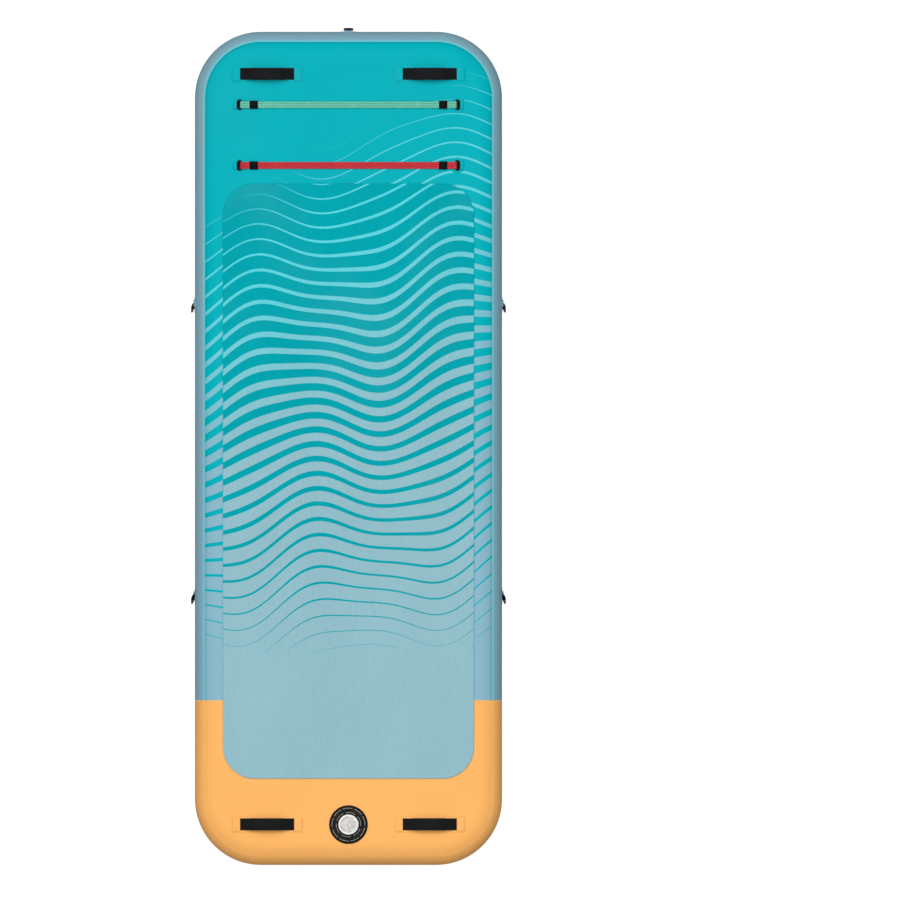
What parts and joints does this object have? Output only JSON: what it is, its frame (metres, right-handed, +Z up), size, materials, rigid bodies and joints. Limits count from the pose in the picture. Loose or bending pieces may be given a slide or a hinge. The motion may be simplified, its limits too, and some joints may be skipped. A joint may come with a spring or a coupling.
{
  "type": "inflatable floating fitness platform",
  "caption": "Flat inflatable board with round rails, a foam deck pad, soft grab handles, tether rings, elastic exercise bands and a push-and-turn air valve.",
  "frame": {"origin": "under the middle of the board, level with the lowest face (the underside of the carry handle's grip)", "axes": "+Y towards the nose, along the board; +Z up out of the deck; +X to the right when looking from above with the nose ahead"},
  "size_m": [0.9444, 2.5115, 0.21],
  "materials": {
    "deck_print": "printed coated fabric, satin",
    "hull_sheet": "coated fabric, satin",
    "rail_blue": "coated fabric, satin",
    "rail_orange": "coated fabric, satin",
    "cloth": "drop-stitch polyester cloth and yarns",
    "pad_foam": "printed closed-cell foam, fine embossed grain",
    "patch_teal": "coated fabric patch",
    "patch_orange": "coated fabric patch",
    "patch_blue": "coated fabric patch",
    "webbing": "black woven webbing",
    "padded_sleeve": "black padded sleeve",
    "ring_plastic": "black moulded plastic",
    "band_green": "latex band, matte",
    "band_red": "latex band, matte",
    "valve_black": "black moulded plastic",
    "valve_grey": "light grey moulded plastic",
    "valve_rubber": "black rubber",
    "spring_steel": "stainless spring wire"
  },
  "bodies": {
    "board": {"deck_skin": "deck_print", "hull_skin": "hull_sheet", "rail_band_front": "rail_blue", "rail_band_tail": "rail_orange", "drop_stitch_core": "cloth", "deck_pad": "pad_foam", "nose_handle_left_patch": "patch_teal", "nose_handle_right_patch": "patch_teal", "tail_handle_left_patch": "patch_orange", "tail_handle_right_patch": "patch_orange", "carry_handle_patch": "patch_teal", "nose_ring_tab": "patch_blue", "fore_ring_left_tab": "patch_blue", "fore_ring_right_tab": "patch_blue", "aft_ring_left_tab": "patch_blue", "aft_ring_right_tab": "patch_blue", "band_green": "band_green", "band_green_tab_left": "patch_teal", "band_green_tab_right": "patch_teal", "band_red": "band_red", "band_red_tab_left": "patch_teal", "band_red_tab_right": "patch_teal", "valve_surround": "valve_black", "valve_body": "valve_black", "valve_nut": "valve_black"},
    "nose_handle_left_grip": {"nose_handle_left_grip": "padded_sleeve", "nose_handle_left_strap": "webbing"},
    "nose_handle_right_grip": {"nose_handle_right_grip": "padded_sleeve", "nose_handle_right_strap": "webbing"},
    "tail_handle_left_grip": {"tail_handle_left_grip": "padded_sleeve", "tail_handle_left_strap": "webbing"},
    "tail_handle_right_grip": {"tail_handle_right_grip": "padded_sleeve", "tail_handle_right_strap": "webbing"},
    "carry_handle_grip": {"carry_handle_grip": "padded_sleeve", "carry_handle_strap": "webbing"},
    "nose_ring": {"nose_ring": "ring_plastic"},
    "fore_ring_left": {"fore_ring_left": "ring_plastic"},
    "aft_ring_left": {"aft_ring_left": "ring_plastic"},
    "fore_ring_right": {"fore_ring_right": "ring_plastic"},
    "aft_ring_right": {"aft_ring_right": "ring_plastic"},
    "band_green_ring_left": {"band_green_ring_left": "ring_plastic"},
    "band_green_slider_left": {"band_green_slider_left": "ring_plastic"},
    "band_green_ring_right": {"band_green_ring_right": "ring_plastic"},
    "band_green_slider_right": {"band_green_slider_right": "ring_plastic"},
    "band_red_ring_left": {"band_red_ring_left": "ring_plastic"},
    "band_red_slider_left": {"band_red_slider_left": "ring_plastic"},
    "band_red_ring_right": {"band_red_ring_right": "ring_plastic"},
    "band_red_slider_right": {"band_red_slider_right": "ring_plastic"},
    "valve_cap_lift": {"valve_cap_gasket": "valve_rubber"},
    "valve_cap": {"valve_cap": "valve_grey"},
    "valve_seal": {"valve_seal": "valve_rubber", "valve_spring": "spring_steel"},
    "valve_plunger": {"valve_plunger": "valve_grey"}
  },
  "joints": [
    {"name": "nose_handle_left_press", "type": "slide", "parent": "board", "child": "nose_handle_left_grip", "axis": [0, 0, 1], "range_m": [-0.008, 0], "stiffness_N_per_m": 300, "deforming": ["nose_handle_left_strap"]},
    {"name": "nose_handle_right_press", "type": "slide", "parent": "board", "child": "nose_handle_right_grip", "axis": [0, 0, 1], "range_m": [-0.008, 0], "stiffness_N_per_m": 300, "deforming": ["nose_handle_right_strap"]},
    {"name": "tail_handle_left_press", "type": "slide", "parent": "board", "child": "tail_handle_left_grip", "axis": [0, 0, 1], "range_m": [-0.008, 0], "stiffness_N_per_m": 300, "deforming": ["tail_handle_left_strap"]},
    {"name": "tail_handle_right_press", "type": "slide", "parent": "board", "child": "tail_handle_right_grip", "axis": [0, 0, 1], "range_m": [-0.008, 0], "stiffness_N_per_m": 300, "deforming": ["tail_handle_right_strap"]},
    {"name": "carry_handle_press", "type": "slide", "parent": "board", "child": "carry_handle_grip", "axis": [0, 0, 1], "range_m": [0, 0.018], "stiffness_N_per_m": 300, "deforming": ["carry_handle_strap", "carry_handle_grip"]},
    {"name": "nose_ring_swing", "type": "hinge", "parent": "board", "child": "nose_ring", "pos_m": [0, 1.2548, 0.105], "axis": [1, 0, 0], "range_deg": [-26, 140]},
    {"name": "fore_ring_left_swing", "type": "hinge", "parent": "board", "child": "fore_ring_left", "pos_m": [-0.46555, 0.4254, 0.105], "axis": [0, 0.7071, -0.7071], "range_deg": [-25, 140]},
    {"name": "aft_ring_left_swing", "type": "hinge", "parent": "board", "child": "aft_ring_left", "pos_m": [-0.46555, -0.4488, 0.105], "axis": [0, -0.7071, -0.7071], "range_deg": [-25, 140]},
    {"name": "fore_ring_right_swing", "type": "hinge", "parent": "board", "child": "fore_ring_right", "pos_m": [0.46555, 0.4254, 0.105], "axis": [0, -0.7071, 0.7071], "range_deg": [-25, 140]},
    {"name": "aft_ring_right_swing", "type": "hinge", "parent": "board", "child": "aft_ring_right", "pos_m": [0.46555, -0.4488, 0.105], "axis": [0, 0.7071, 0.7071], "range_deg": [-25, 140]},
    {"name": "band_green_ring_left_swing", "type": "hinge", "parent": "board", "child": "band_green_ring_left", "pos_m": [-0.331, 1.031, 0.1848], "axis": [0, -1, 0], "range_deg": [-3.5, 3.5]},
    {"name": "band_green_slider_left_slide", "type": "slide", "parent": "board", "child": "band_green_slider_left", "axis": [1, 0, 0], "range_m": [-0.004, 0.02]},
    {"name": "band_green_ring_right_swing", "type": "hinge", "parent": "board", "child": "band_green_ring_right", "pos_m": [0.331, 1.031, 0.1848], "axis": [0, 1, 0], "range_deg": [-3.5, 3.5]},
    {"name": "band_green_slider_right_slide", "type": "slide", "parent": "board", "child": "band_green_slider_right", "axis": [-1, 0, 0], "range_m": [-0.004, 0.02]},
    {"name": "band_red_ring_left_swing", "type": "hinge", "parent": "board", "child": "band_red_ring_left", "pos_m": [-0.331, 0.849, 0.1848], "axis": [0, -1, 0], "range_deg": [-3.5, 3.5]},
    {"name": "band_red_slider_left_slide", "type": "slide", "parent": "board", "child": "band_red_slider_left", "axis": [1, 0, 0], "range_m": [-0.004, 0.02]},
    {"name": "band_red_ring_right_swing", "type": "hinge", "parent": "board", "child": "band_red_ring_right", "pos_m": [0.331, 0.849, 0.1848], "axis": [0, 1, 0], "range_deg": [-3.5, 3.5]},
    {"name": "band_red_slider_right_slide", "type": "slide", "parent": "board", "child": "band_red_slider_right", "axis": [-1, 0, 0], "range_m": [-0.004, 0.02]},
    {"name": "valve_cap_lift", "type": "slide", "parent": "board", "child": "valve_cap_lift", "axis": [0, 0, 1], "range_m": [0, 0.025]},
    {"name": "valve_cap_turn", "type": "hinge", "parent": "valve_cap_lift", "child": "valve_cap", "pos_m": [0, -1.129, 0.2], "axis": [0, 0, 1], "range_deg": [0, 90]},
    {"name": "valve_press", "type": "slide", "parent": "board", "child": "valve_seal", "axis": [0, 0, 1], "range_m": [-0.007, 0], "stiffness_N_per_m": 400, "springref_m": 0.005, "deforming": ["valve_spring"]},
    {"name": "valve_lock_turn", "type": "hinge", "parent": "valve_seal", "child": "valve_plunger", "pos_m": [0, -1.129, 0.18], "axis": [0, 0, 1], "range_deg": [0, 90]}
  ]
}
